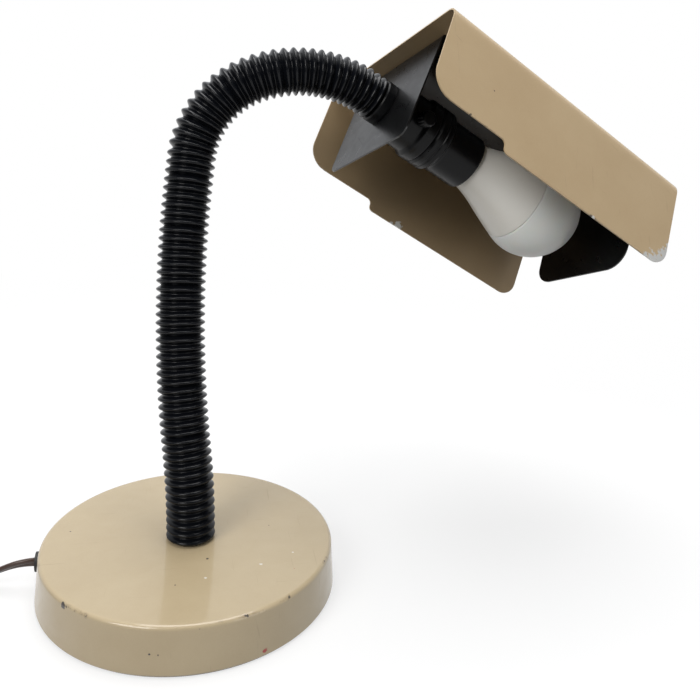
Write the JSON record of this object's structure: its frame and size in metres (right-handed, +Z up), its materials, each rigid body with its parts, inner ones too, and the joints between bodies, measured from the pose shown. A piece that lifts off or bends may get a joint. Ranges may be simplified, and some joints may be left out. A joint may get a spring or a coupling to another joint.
{
  "type": "gooseneck desk lamp",
  "caption": "Desk lamp with a weighted round base, a bendable ribbed neck and a folded steel shade over a screw-in globe bulb, with its coiled cord and plug",
  "frame": {"origin": "centre of the base where it rests on the table", "axes": "+Z up, +X is the way the neck leans, and the cord leaves the base towards -X"},
  "size_m": [0.541, 0.2072, 0.3069],
  "materials": {
    "enamel": "tan baked enamel, satin, chipped at the rims",
    "iron": "rough casting",
    "pad": "matt sheet",
    "sleeve": "glossy ribbed vinyl",
    "steel": "zinc plated",
    "black_paint": "black satin paint",
    "phenolic": "black moulding",
    "insulator": "moulded insulator",
    "brass": "bright",
    "bulb_cap": "nickel plated",
    "bulb_white": "white moulding",
    "diffuser": "frosted",
    "board": "white coating",
    "cord": "brown vinyl",
    "plug": "moulded vinyl",
    "black_rubber": "black moulding"
  },
  "bodies": {
    "base": {"base_shell": "enamel", "base_weight": "iron", "base_pad": "pad", "cord_grommet": "black_rubber", "neck_nipple": "steel", "base_washer": "steel", "base_nut": "steel", "base_lead": "cord", "sleeve_00": "sleeve", "link_00": "steel", "neck_lead": "cord", "cord_stretch": "cord", "cord_coil": "cord", "coil_tie": "black_rubber", "plug_body": "plug", "plug_blades": "brass"},
    "neck_01": {"sleeve_01": "sleeve", "link_01": "steel"},
    "neck_02": {"sleeve_02": "sleeve", "link_02": "steel"},
    "neck_03": {"sleeve_03": "sleeve", "link_03": "steel"},
    "neck_04": {"sleeve_04": "sleeve", "link_04": "steel"},
    "neck_05": {"sleeve_05": "sleeve", "link_05": "steel"},
    "neck_06": {"sleeve_06": "sleeve", "link_06": "steel"},
    "neck_07": {"sleeve_07": "sleeve", "link_07": "steel"},
    "neck_08": {"sleeve_08": "sleeve", "link_08": "steel"},
    "neck_09": {"sleeve_09": "sleeve", "link_09": "steel"},
    "neck_10": {"sleeve_10": "sleeve", "link_10": "steel"},
    "neck_11": {"sleeve_11": "sleeve", "link_11": "steel"},
    "head": {"sleeve_12": "sleeve", "link_12": "steel", "neck_ferrule": "black_paint", "head_nipple": "steel", "head_nut": "steel", "shade_hood": "enamel", "shade_liner": "black_paint", "hood_rivets": "enamel", "socket_cap": "phenolic", "socket_shell": "phenolic", "socket_core": "insulator", "screw_shell": "brass", "centre_contact": "brass", "terminal_screws": "brass", "head_leads": "cord"},
    "switch": {"switch_knob": "phenolic", "switch_rotor": "insulator"},
    "bulb": {"bulb_body": "bulb_white", "bulb_diffuser": "diffuser", "bulb_screw_cap": "bulb_cap", "bulb_tip": "bulb_cap", "led_board": "board"}
  },
  "joints": [
    {"name": "lower_bend", "type": "hinge", "parent": "base", "child": "neck_01", "pos_m": [0, 0, 0.0395], "axis": [0.0011, 0.9981, -0.0614], "range_deg": [-18, 4], "deforming": ["neck_lead"]},
    {"name": "lower_swing", "type": "hinge", "parent": "neck_01", "child": "neck_02", "pos_m": [-0.00209, 0.00361, 0.06631], "axis": [0.9951, 0.0085, 0.0988], "range_deg": [-15, 15]},
    {"name": "lower_bend_2", "type": "hinge", "parent": "neck_02", "child": "neck_03", "pos_m": [-0.00477, 0.00883, 0.09276], "axis": [0.0111, 0.9808, -0.1948], "range_deg": [-18, 4]},
    {"name": "lower_swing_2", "type": "hinge", "parent": "neck_03", "child": "neck_04", "pos_m": [-0.00644, 0.01411, 0.11928], "axis": [0.9991, -0.0027, 0.0434], "range_deg": [-15, 15]},
    {"name": "lower_bend_3", "type": "hinge", "parent": "neck_04", "child": "neck_05", "pos_m": [-0.00704, 0.01939, 0.14584], "axis": [0.0111, 0.9808, -0.1948], "range_deg": [-18, 4]},
    {"name": "lower_swing_3", "type": "hinge", "parent": "neck_05", "child": "neck_06", "pos_m": [-0.00657, 0.02467, 0.17241], "axis": [0.9992, -0.0181, -0.0344], "range_deg": [-15, 15]},
    {"name": "upper_bend", "type": "hinge", "parent": "neck_06", "child": "neck_07", "pos_m": [-0.00503, 0.02992, 0.19894], "axis": [0.0111, 0.9808, -0.1948], "range_deg": [-18, 6]},
    {"name": "upper_swing", "type": "hinge", "parent": "neck_07", "child": "neck_08", "pos_m": [-0.00239, 0.03514, 0.22539], "axis": [0.9893, -0.0391, -0.1407], "range_deg": [-15, 15]},
    {"name": "upper_bend_2", "type": "hinge", "parent": "neck_08", "child": "neck_09", "pos_m": [0.00827, 0.03858, 0.2497], "axis": [0.0447, 0.9924, -0.1147], "range_deg": [-18, 6]},
    {"name": "upper_swing_2", "type": "hinge", "parent": "neck_09", "child": "neck_10", "pos_m": [0.02976, 0.03838, 0.26568], "axis": [0.3761, -0.1032, -0.9208], "range_deg": [-15, 15]},
    {"name": "upper_bend_3", "type": "hinge", "parent": "neck_10", "child": "neck_11", "pos_m": [0.05613, 0.03789, 0.27099], "axis": [-0.0211, 0.9951, -0.0965], "range_deg": [-18, 6]},
    {"name": "upper_swing_3", "type": "hinge", "parent": "neck_11", "child": "head", "pos_m": [0.08279, 0.03942, 0.2664], "axis": [-0.3643, -0.1192, -0.9236], "range_deg": [-15, 15]},
    {"name": "switch_turn", "type": "hinge", "parent": "head", "child": "switch", "pos_m": [0.11599, 0.044, 0.24746], "axis": [0.2057, -0.9705, 0.1258], "continuous": true},
    {"name": "bulb_turn", "type": "hinge", "parent": "head", "child": "bulb", "pos_m": [0.1009, 0.04192, 0.25607], "axis": [0.8625, 0.119, -0.4919], "continuous": true}
  ],
  "couplings": [
    {"joint": "lower_bend_2", "follows": "lower_bend", "ratio": 1},
    {"joint": "lower_swing_2", "follows": "lower_swing", "ratio": 1},
    {"joint": "lower_bend_3", "follows": "lower_bend", "ratio": 1},
    {"joint": "lower_swing_3", "follows": "lower_swing", "ratio": 1},
    {"joint": "upper_bend_2", "follows": "upper_bend", "ratio": 1},
    {"joint": "upper_swing_2", "follows": "upper_swing", "ratio": 1},
    {"joint": "upper_bend_3", "follows": "upper_bend", "ratio": 1},
    {"joint": "upper_swing_3", "follows": "upper_swing", "ratio": 1}
  ]
}
